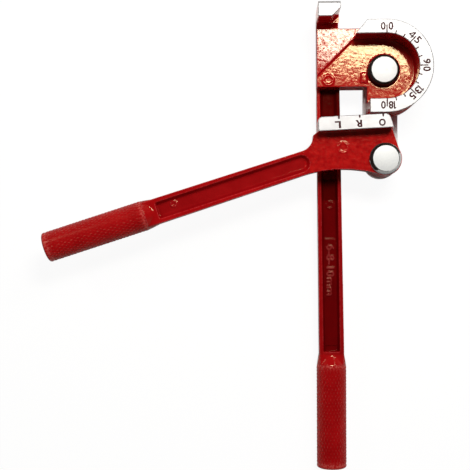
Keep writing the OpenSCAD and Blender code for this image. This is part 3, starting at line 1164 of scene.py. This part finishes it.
@dataclass
class DialMarks(Marks):
    """The dial's degree lines, every 15 degrees of a half turn, and their figures."""

    ring_w: float = 10.2 * MM
    step: int = 15
    long_step: int = 45
    half_turn: int = 180
    short_line: float = 2.8 * MM
    long_line: float = 6.2 * MM
    figure_w: float = 3.5 * MM
    figure_h: float = 5.6 * MM
    one_pitch: float = 2.7 * MM
    first_figure: float = 2.8 * MM
    figure_r: float = 28.8 * MM

    def build(self) -> Piece:
        """Models all lines and figures of the dial.

        Returns:
            The finished piece.
        """
        pieces = []
        for angle in range(0, self.half_turn + 1, self.step):
            is_long = angle % self.long_step == 0
            pieces.append(self.degree_line(angle, self.long_line if is_long else self.short_line))
            if is_long:
                pieces += self.figures(angle)
        return self.finish_marks(pieces, "dial_marks", Body.MANDREL)

    def facing(self, angle: float, across: float, radius: float) -> Matrix:
        """Finds a place on the dial, with Y pointing outwards.

        Args:
            angle: Degrees clockwise from the dial's zero line.
            across: Distance from that line, clockwise.
            radius: Distance from the wheel axis along that line.

        Returns:
            The place's matrix.
        """
        middle = Matrix.Translation((WHEEL_AXIS.x, WHEEL_AXIS.y, self.middle_z))
        turn = Matrix.Rotation(-math.radians(angle), 4, "Z")
        return middle @ turn @ Matrix.Translation((across, radius, 0))

    def degree_line(self, angle: float, length: float) -> Piece:
        """Models one degree line from the dial's inner edge.

        Args:
            angle: Degrees clockwise from the dial's zero line.
            length: Length of the line.

        Returns:
            The line in its place.
        """
        piece = self.line(length, self.stroke)
        settle(piece, self.facing(angle, 0, WHEEL_R - self.ring_w))
        return piece

    def figures(self, angle: int) -> list[Piece]:
        """Models the figures on both sides of a long line.

        Args:
            angle: Degrees clockwise from the dial's zero line.

        Returns:
            The figures in their places.
        """
        words = str(angle) if angle else "00"
        places = [(words[-2], -self.first_figure), (words[-1], self.first_figure)]
        if len(words) > 2:
            places.append((words[0], -self.first_figure - self.one_pitch))
        pieces = []
        for word, across in places:
            piece = self.figure(word)
            settle(piece, self.facing(angle, across, self.figure_r))
            pieces.append(piece)
        return pieces

    def figure(self, word: str) -> Piece:
        """Models one figure, centred on the origin.

        Args:
            word: The figure.

        Returns:
            The figure, upright along Y.
        """
        if word not in STROKES:
            return glyphs(word, self.figure_w, self.figure_h, self.depth)
        lines = []
        for start, end in STROKES[word]:
            run = Vector(end) - Vector(start)
            piece = self.line(run.length, self.stroke)
            turn = Matrix.Rotation(Vector((0, 1)).angle_signed(run), 4, "Z")
            settle(piece, Matrix.Translation((*start, 0)) @ turn.inverted())
            lines.append(piece)
        return join(lines, f"figure_{word}")


@dataclass
class ShoeMarks(Marks):
    """The shoe's three setting lines with their letters, which read from the handle's side."""

    # Each letter, its line's place along the shoe, and the letter's width.
    places: tuple[tuple[str, float, float], ...] = (
        ("L", *mm(-33.8, 4.4)), ("R", *mm(-18.6, 4.8)), ("O", *mm(-1.5, 4.9)))
    face_y: float = 32.15 * MM
    letter_y: float = 25.7 * MM
    letter_h: float = 5.3 * MM
    line_l: float = 2.3 * MM
    line_w: float = 1.2 * MM
    letter_shift: float = 0.9 * MM
    letter_bold: float = 0.04

    def build(self) -> Piece:
        """Models the lines and letters of the shoe.

        Returns:
            The finished piece.
        """
        middle = Matrix.Translation((LEVER_AXIS.x, LEVER_AXIS.y, self.middle_z))
        shoe = middle @ Matrix.Rotation(LEVER_OPEN, 4, "Z")
        half_turn = Matrix.Rotation(math.pi, 4, "Z")
        pieces = []
        for word, x, width in self.places:
            line = self.line(self.line_l, self.line_w)
            settle(line, shoe @ Matrix.Translation((x, self.face_y, 0)) @ half_turn)
            letter = glyphs(word, width, self.letter_h, self.depth, self.letter_bold)
            settle(letter, shoe @ Matrix.Translation((x - self.letter_shift, self.letter_y, 0)) @ half_turn)
            pieces += [line, letter]
        return self.finish_marks(pieces, "shoe_marks", Body.LEVER)


@dataclass
class SoftBox:
    """A rectangular studio lamp that faces a point."""

    name: str
    place: Point
    size: Span
    radiance: float
    colour: Colour
    aim: Point = (0, 0, 0)

    def build(self) -> None:
        """Hangs the lamp."""
        lamp = bpy.data.lights.new(self.name, "AREA")
        lamp.shape = "RECTANGLE"
        lamp.size, lamp.size_y = self.size
        lamp.energy = self.radiance * math.pi * math.prod(self.size)
        lamp.color = self.colour
        stand = bpy.data.objects.new(self.name, lamp)
        stand.location = self.place
        way = Vector(self.aim) - Vector(self.place)
        stand.rotation_euler = way.to_track_quat("-Z", "Y").to_euler()
        bpy.context.scene.collection.objects.link(stand)


# The camera sees the key lamp mirrored in the wheel's pocket.
LAMPS = (
    SoftBox("key", (0.032, 0.192, 0.70), (0.25, 0.13), 36.0, (1.0, 0.96, 0.90)),
    SoftBox("side", (0.40, 0.50, 0.75), (0.3, 0.3), 6.0, (1.0, 0.98, 0.96), (-0.08, -0.08, 0)),
    SoftBox("left", (-0.72, 0.33, 0.69), (0.2, 0.2), 9.0, (1.0, 0.98, 0.96), (-0.08, -0.1, 0)),
)


@dataclass
class Studio:
    """Floor, lamps, surroundings and camera."""

    floor_size: float = 8.0
    floor_colour: Colour = (0.90, 0.90, 0.90)
    floor_glow: float = 0.88
    glow_strength: float = 1.06
    horizon: float = 0.35
    horizon_at: float = 0.12
    zenith: float = 0.05
    zenith_at: float = 0.5
    camera_place: Point = mm(-81.7, -119.7, 770.0)
    camera_turn: Point = (-0.30, 2.40, -0.22)
    camera_lens: float = 74.27
    camera_near: float = 10 * MM
    sensor: float = 36.0

    def build(self) -> None:
        """Sets up the whole studio."""
        self.lay_floor()
        self.surround()
        for lamp in LAMPS:
            lamp.build()
        self.set_camera()
        bpy.context.scene.view_settings.view_transform = "Standard"

    def lay_floor(self) -> None:
        """Lays the pale floor under the tool, which glows for the camera alone."""
        bpy.ops.mesh.primitive_plane_add(size=self.floor_size, location=(0, 0, CAD_BOX[0][2]))
        floor = bpy.context.object
        floor.name = "floor"
        shader = Shader("pale_floor")
        seen = shader.add("ShaderNodeLightPath").outputs["Is Camera Ray"]
        factors = {0: seen, 1: self.floor_glow}
        share = shader.add("ShaderNodeMath", {"operation": "MULTIPLY"}, factors).outputs[0]
        matt = shader.add("ShaderNodeBsdfDiffuse", None, {"Color": (*self.floor_colour, 1)}).outputs[0]
        glow = shader.add("ShaderNodeEmission", None, {"Strength": self.glow_strength}).outputs[0]
        blend = shader.add("ShaderNodeMixShader", None, {0: share, 1: matt, 2: glow}).outputs[0]
        shader.add("ShaderNodeOutputMaterial", None, {"Surface": blend})
        floor.data.materials.append(shader.material)

    def surround(self) -> None:
        """Lights the room softly: bright at the horizon and dim overhead."""
        world = bpy.data.worlds.new("studio")
        world.use_nodes = True
        tree = world.node_tree
        coords = tree.nodes.new("ShaderNodeTexCoord")
        split = tree.nodes.new("ShaderNodeSeparateXYZ")
        ramp = tree.nodes.new("ShaderNodeValToRGB")
        stops = ((self.horizon_at, self.horizon), (self.zenith_at, self.zenith))
        for stop, (place, grey) in zip(ramp.color_ramp.elements, stops):
            stop.position = place
            stop.color = (grey, grey, grey, 1)
        tree.links.new(coords.outputs["Generated"], split.inputs[0])
        tree.links.new(split.outputs["Z"], ramp.inputs["Fac"])
        tree.links.new(ramp.outputs["Color"], tree.nodes["Background"].inputs["Color"])
        bpy.context.scene.world = world

    def set_camera(self) -> None:
        """Sets up the camera over the tool, as the photograph was taken."""
        lens = bpy.data.cameras.new("camera")
        lens.sensor_width = self.sensor
        lens.lens = self.camera_lens
        lens.clip_start = self.camera_near
        camera = bpy.data.objects.new("camera", lens)
        camera.location = self.camera_place
        camera.rotation_euler = Euler([math.radians(angle) for angle in self.camera_turn])
        bpy.context.scene.collection.objects.link(camera)
        bpy.context.scene.camera = camera


MANDREL_DETAILS = (
    EjectorMark(*mm(-41.3, -6.3, 33.0, 4.1)),
    EjectorMark(*mm(-39.7, -100.8, 17.5, 3.1)),
    RaisedPanel(mm(-44.2, -209.0), mm(-35.2, -127.0), 17.5 * MM),
    RaisedFigures("6-8-10mm", mm(-39.6, -151.1, 18.0), *mm(38.9, 6.1)),
)
LEVER_DETAILS = (
    EjectorMark(*mm(-31.3, -58.7, 45.0, 4.1)),
    EjectorMark(*mm(-158.4, -99.8, 41.0, 2.6)),
)
# Paints of places whose tone in the photograph is partly shade or glare.
PAD_PAINT = CastPaint(
    "pad_paint", grain_size=1.8 * MM, grain_rise=0.05 * MM, swell_rise=0.05 * MM,
    glare=(1.0, 0.94, 0.76), shine=0.42, fleck=0.8)
FLOOR_PAINT = CastPaint(
    "floor_paint", grain_size=1.8 * MM, grain_rise=0.05 * MM, swell_rise=0.06 * MM,
    glare=(1.0, 0.80, 0.46), shine=0.6, fleck=0.5)
# Lighter mottles on a rough grain round the lever's ejector mark: painted glints.
SPECKLED_GLINT_PAINT = CastPaint(
    "speckled_glint_paint", (0.51, 0.008, 0.008), (0.36, 0.002, 0.004), tone_size=4.0 * MM,
    grain_size=1.8 * MM, grain_rise=0.10 * MM, shine=0.38, fleck=0.6)
# Painted shade: a darker red on the floor of the mandrel handle's recess.
RECESS_SHADE_PAINT = CastPaint(
    "recess_shade_paint", (0.16, 0.001, 0.002), (0.13, 0.001, 0.002), (0.20, 0.01, 0.01), shine=0.1)
# Painted shadow of the wheel plate and the lever on the mandrel's shank.
SHADED_PAINT = CastPaint(
    "shaded_paint", (0.10, 0.001, 0.001), (0.08, 0.001, 0.001), (0.12, 0.01, 0.01), shine=0.05)
# Painted shade on the raised figures' tops, lighter than the recess floor round them.
FIGURE_SHADE_PAINT = CastPaint(
    "figure_paint", (0.26, 0.02, 0.02), (0.20, 0.01, 0.01), (0.34, 0.04, 0.04), shine=0.15)
# Painted shade: a slightly darker red on the mandrel shank's rims and in the lever handle's groove.
GROOVE_SHADE_PAINT = CastPaint("groove_shade_paint", (0.36, 0.004, 0.006), (0.30, 0.002, 0.004))
# On the knurl's points the lighter edge colour stands for painted glints.
GRIP_COAT = CastPaint(
    "grip_coat", edge=(0.62, 0.08, 0.07), grain_rise=0.012 * MM, swell_rise=0.03 * MM,
    smooth=0.2, rough=0.3, shine=0.25)
# Painted shade: a near-black line on the dial's broken edge at its right.
MILLED_EDGE_SHADE = MilledFace("milled_edge_shade", (0.13, 0.11, 0.11), (0.09, 0.08, 0.08))
# A face takes the first patch that holds it.
MANDREL_PATCHES = (
    Patch(PAD_PAINT, mm(-52, -12, 34.3), mm(24, 36, 37)),
    Patch(FLOOR_PAINT, mm(-52, -12, 31), mm(24, 36, 34.3)),
    Patch(FLOOR_PAINT, mm(-13, -25, 31), mm(24, -11, 34.3)),
    Patch(SHADED_PAINT, mm(-52, -60, 16), mm(-30, -11, 20.7)),
    Patch(SHADED_PAINT, mm(-52, -97, 16), mm(-30, -81, 20.7)),
    Patch(SHADED_PAINT, mm(-36, -60, 16), mm(-30, -11, 22.5)),
    Patch(FIGURE_SHADE_PAINT, mm(-44, -171.5, 18.3), mm(-35, -130, 19.2)),
    Patch(RECESS_SHADE_PAINT, mm(-52, -216, 16), mm(-30, -60, 20.7)),
    Patch(GROOVE_SHADE_PAINT, mm(-52, -216, 20.7), mm(-28, -60, 22.5)),
    Patch(MILLED_EDGE_SHADE, (*mm(25.5, -26), FACE_Z - 0.5 * MM), (*mm(36, 32), FACE_Z - WELD)),
)
LEVER_PATCHES = (
    Patch(SPECKLED_GLINT_PAINT, mm(-56, -90, 44), mm(30, -28, 46.5)),
    Patch(GROOVE_SHADE_PAINT, mm(-240, -140, 40), mm(-60, -50, 44.2)),
)


def main() -> None:
    """Builds the tool, piece by piece, and the studio round it."""
    logging.basicConfig(level=logging.INFO, format="%(name)s: %(message)s")
    bpy.ops.object.select_all(action="DESELECT")
    Studio().build()
    Casting(("mandrel_casting", "mandrel_shank"), Body.MANDREL, MANDREL_DETAILS, MANDREL_PATCHES).build()
    Casting(("lever_casting",), Body.LEVER, LEVER_DETAILS, LEVER_PATCHES, triangles=150_000).build()
    KnurledGrip("mandrel_grip", Body.MANDREL, GRIP_COAT).build()
    KnurledGrip("lever_grip", Body.LEVER, GRIP_COAT).build()
    dress_node("mandrel_grip_plug", GRIP_COAT)
    dress_node("lever_grip_plug", GRIP_COAT)
    Pivots().build()
    DialMarks().build()
    ShoeMarks().build()


if __name__ == "__main__":
    main()
